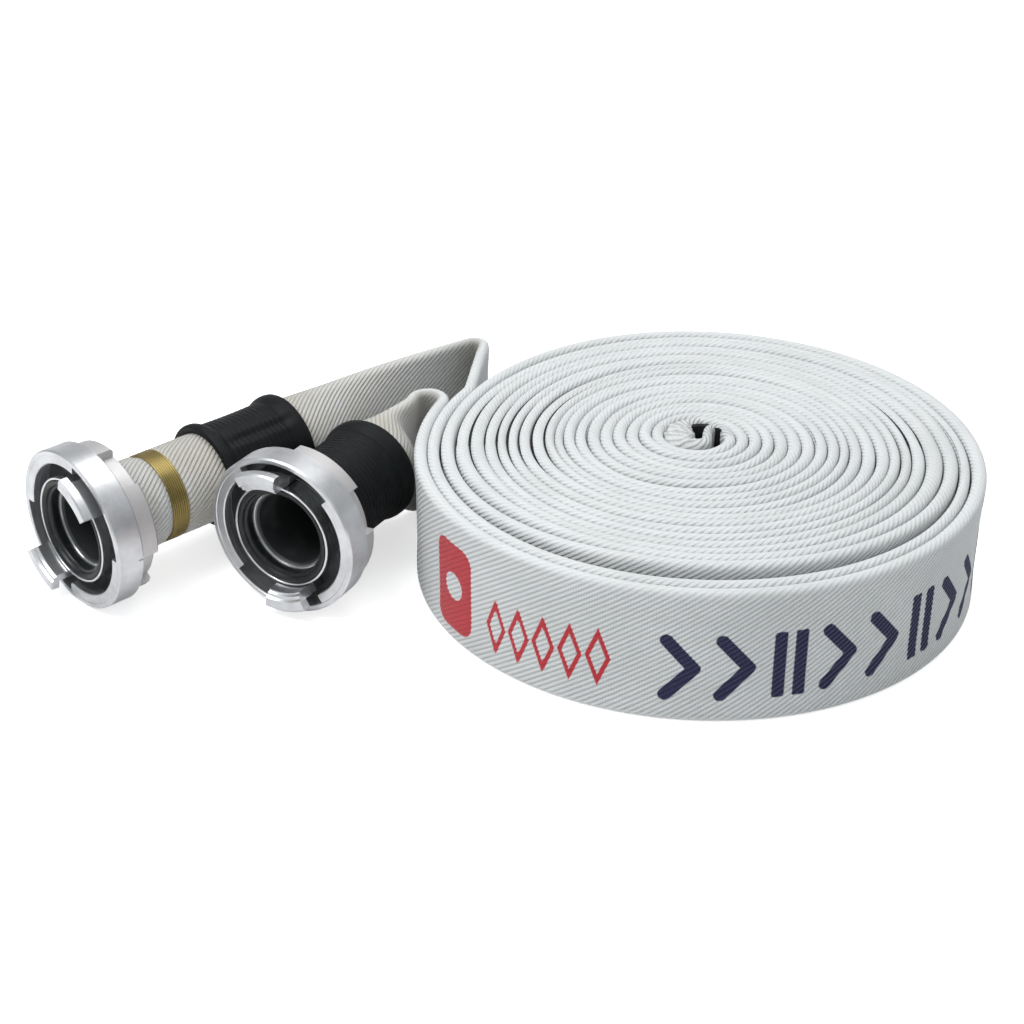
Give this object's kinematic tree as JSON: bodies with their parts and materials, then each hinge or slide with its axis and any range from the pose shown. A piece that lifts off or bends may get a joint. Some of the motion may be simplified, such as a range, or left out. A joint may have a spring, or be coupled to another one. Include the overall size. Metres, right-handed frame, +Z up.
{
  "type": "rolled fire hose",
  "caption": "Lay-flat woven fire hose, double-rolled flat, with a turning lug coupling, rubber sleeve and wire binding on each folded-back end.",
  "frame": {"origin": "on the floor, at the middle of the roll", "axes": "+Z up; the couplings lie on the -X side, with their mouths towards -X and -Y"},
  "size_m": [0.5613, 0.3234, 0.098],
  "materials": {
    "jacket": "woven synthetic jacket, diagonal rib weave, off-white, matte",
    "liner": "smooth black rubber lining",
    "coupling": "forged and turned aluminium alloy, satin, cast texture on the hub",
    "shank": "turned aluminium alloy, bright front edge",
    "seal": "black moulded rubber, semi-matte",
    "slip": "natural nylon washer",
    "snap": "stainless spring steel",
    "wire": "brass-coloured wire, worn and slightly tarnished",
    "sleeve": "black moulded rubber with fine ribs, matte"
  },
  "bodies": {
    "hose_roll": {"jacket_roll": "jacket", "liner_roll": "liner"},
    "tail_a": {"jacket_tail_a": "jacket", "liner_tail_a": "liner", "binding_a": "wire", "shank_a": "shank", "seal_a": "seal", "slip_ring_a": "slip", "snap_ring_a": "snap"},
    "tail_b": {"jacket_tail_b": "jacket", "liner_tail_b": "liner", "binding_b": "wire", "shank_b": "shank", "seal_b": "seal", "slip_ring_b": "slip", "snap_ring_b": "snap"},
    "head_a": {"lug_ring_a": "coupling"},
    "head_b": {"lug_ring_b": "coupling"},
    "grip_a": {"sleeve_a": "sleeve"},
    "grip_b": {"sleeve_b": "sleeve"}
  },
  "joints": [
    {"name": "tail_a_open", "type": "hinge", "parent": "hose_roll", "child": "tail_a", "pos_m": [-0.13452, 0.14983, 0.041], "axis": [0, 0, -1], "range_deg": [0, 35]},
    {"name": "tail_b_open", "type": "hinge", "parent": "hose_roll", "child": "tail_b", "pos_m": [-0.1619, 0.06976, 0.041], "axis": [0, 0, -1], "range_deg": [0, 24.5]},
    {"name": "head_a_turn", "type": "hinge", "parent": "tail_a", "child": "head_a", "pos_m": [-0.3644, -0.0393, 0.049], "axis": [-0.7193, -0.6947, 0], "continuous": true},
    {"name": "head_b_turn", "type": "hinge", "parent": "tail_b", "child": "head_b", "pos_m": [-0.2426, -0.0459, 0.049], "axis": [-0.4924, -0.8704, 0], "continuous": true},
    {"name": "sleeve_a_slide", "type": "slide", "parent": "tail_a", "child": "grip_a", "axis": [-0.7193, -0.6947, 0], "range_m": [0, 0.062]},
    {"name": "sleeve_b_slide", "type": "slide", "parent": "tail_b", "child": "grip_b", "axis": [0.4924, 0.8704, 0], "range_m": [0, 0.005]}
  ],
  "couplings": [
    {"joint": "tail_b_open", "follows": "tail_a_open", "ratio": 0.7}
  ]
}
